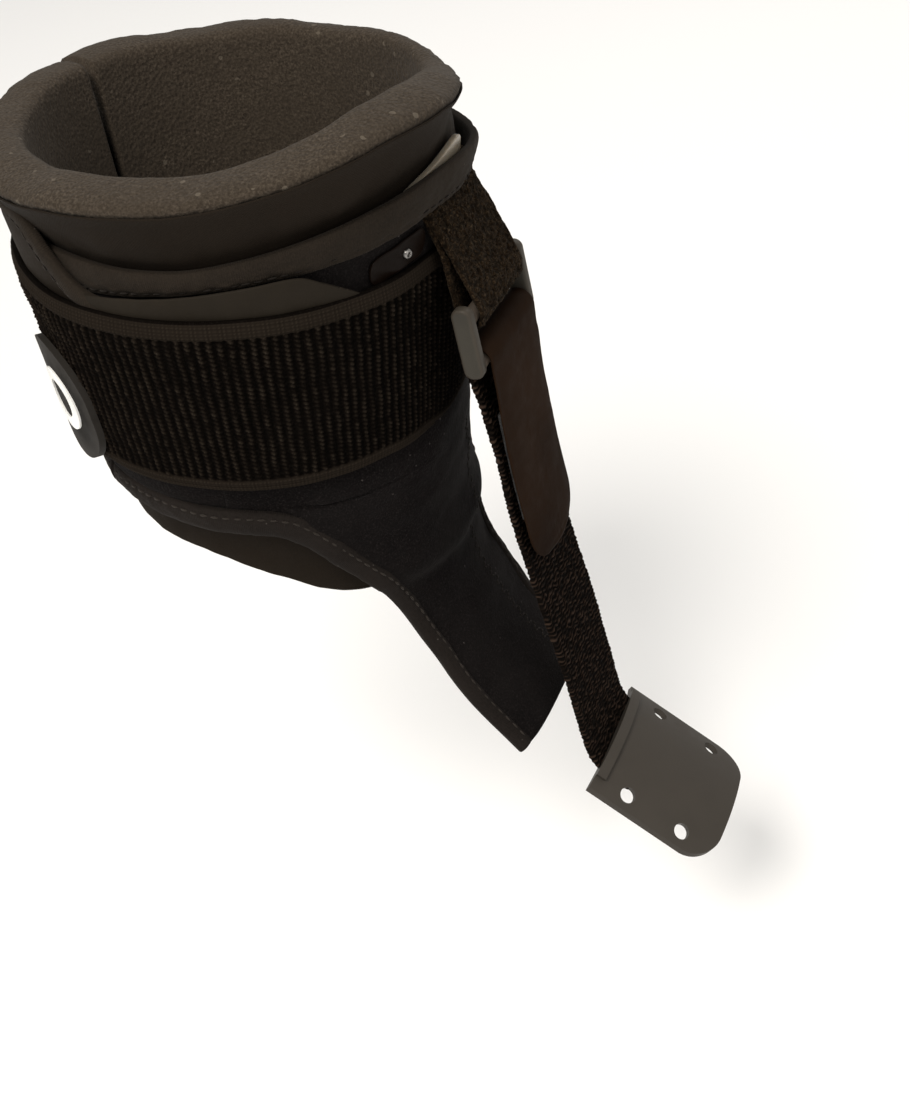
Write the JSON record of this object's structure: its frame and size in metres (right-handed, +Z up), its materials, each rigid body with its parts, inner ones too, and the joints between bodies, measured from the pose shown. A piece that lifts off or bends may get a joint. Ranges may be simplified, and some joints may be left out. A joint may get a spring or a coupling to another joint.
{
  "type": "ankle foot orthosis",
  "caption": "Soft drop-foot ankle orthosis: padded lower-leg cuff with wrap closure, front ring, elastic lift strap with pull tab, and a plate held under the shoe laces.",
  "frame": {"origin": "on the leg's axis at the height of the ankle joint", "axes": "+X towards the toes, +Y towards the inner side of a right leg, +Z up the leg"},
  "size_m": [0.2056, 0.1332, 0.2339],
  "materials": {
    "foam": "matt, fine speckle",
    "liner_fabric": "smooth knit over foam",
    "plate_plastic": "translucent, satin",
    "velour": "short loop pile",
    "binding_tape": "smooth stretch tape",
    "pile_webbing": "curly loop pile",
    "smooth_patch": "smooth, satin",
    "rivet_metal": "bright",
    "ribbed_elastic": "ribbed knit elastic",
    "hook_tape": "hooks",
    "badge_rubber": "satin",
    "badge_print": "printed",
    "ring_plastic": "satin moulded",
    "tab_leatherette": "smooth, satin",
    "crepe_elastic": "crimped crepe elastic",
    "insert_plastic": "smooth moulded"
  },
  "bodies": {
    "cuff": {"foam_liner": "foam", "liner_facing": "liner_fabric", "lower_liner": "liner_fabric", "anterior_plate": "plate_plastic", "cuff_shell": "velour", "top_binding": "binding_tape", "lower_binding": "binding_tape", "front_panel": "velour", "front_panel_binding": "binding_tape", "anchor_base": "pile_webbing", "anchor_strap": "pile_webbing", "rivet_plate": "smooth_patch", "rivets": "rivet_metal", "wide_strap_base": "ribbed_elastic", "strap_base_patch": "smooth_patch"},
    "flap": {"closure_flap": "velour", "flap_binding": "binding_tape", "flap_hook_tab": "smooth_patch", "flap_hook_pad": "hook_tape"},
    "strap": {"wide_strap": "ribbed_elastic", "strap_end_grip": "smooth_patch", "strap_hook_patch": "hook_tape", "badge": "badge_rubber", "badge_mark": "badge_print"},
    "tongue": {"tongue_pad": "velour", "tongue_binding": "binding_tape"},
    "ring": {"ring_buckle": "ring_plastic"},
    "front_strap": {"tab_loop": "tab_leatherette", "elastic_strap": "crepe_elastic"},
    "tab": {"pull_tab": "tab_leatherette", "tab_hook_pad": "hook_tape"},
    "strap_end": {"strap_foot": "crepe_elastic"},
    "insert": {"shoe_insert": "insert_plastic", "insert_lip": "insert_plastic"}
  },
  "joints": [
    {"name": "strap_open", "type": "hinge", "parent": "cuff", "child": "strap", "pos_m": [0.05368, -0.02618, 0.115], "axis": [0.085, -0.0415, 0.9955], "range_deg": [0, 80]},
    {"name": "flap_lift", "type": "hinge", "parent": "cuff", "child": "flap", "pos_m": [-0.04855, -0.02917, 0.112], "axis": [0.0811, 0.0487, -0.9955], "range_deg": [0, 16]},
    {"name": "tongue_flex", "type": "hinge", "parent": "cuff", "child": "tongue", "pos_m": [0.0545, 0, 0.0325], "axis": [0, -1, 0], "range_deg": [-18, 2]},
    {"name": "ring_swing", "type": "hinge", "parent": "cuff", "child": "ring", "pos_m": [0.067, 0, 0.1245], "axis": [0, -1, 0], "range_deg": [-2, 45]},
    {"name": "strap_swing", "type": "hinge", "parent": "ring", "child": "front_strap", "pos_m": [0.06888, 0, 0.11265], "axis": [0, -1, 0], "range_deg": [0, 35]},
    {"name": "tab_peel", "type": "hinge", "parent": "front_strap", "child": "tab", "pos_m": [0.0735, 0, 0.1044], "axis": [0, -1, 0], "range_deg": [0, 70]},
    {"name": "strap_stretch", "type": "slide", "parent": "front_strap", "child": "strap_end", "axis": [0.2368, 0, -0.9716], "range_m": [0, 0.025], "stiffness_N_per_m": 600, "deforming": ["elastic_strap"]},
    {"name": "insert_flex", "type": "hinge", "parent": "strap_end", "child": "insert", "pos_m": [0.0984, 0, -0.0246], "axis": [0, -1, 0], "range_deg": [-25, 40]}
  ],
  "couplings": [
    {"joint": "flap_lift", "follows": "strap_open", "ratio": 0.2}
  ]
}
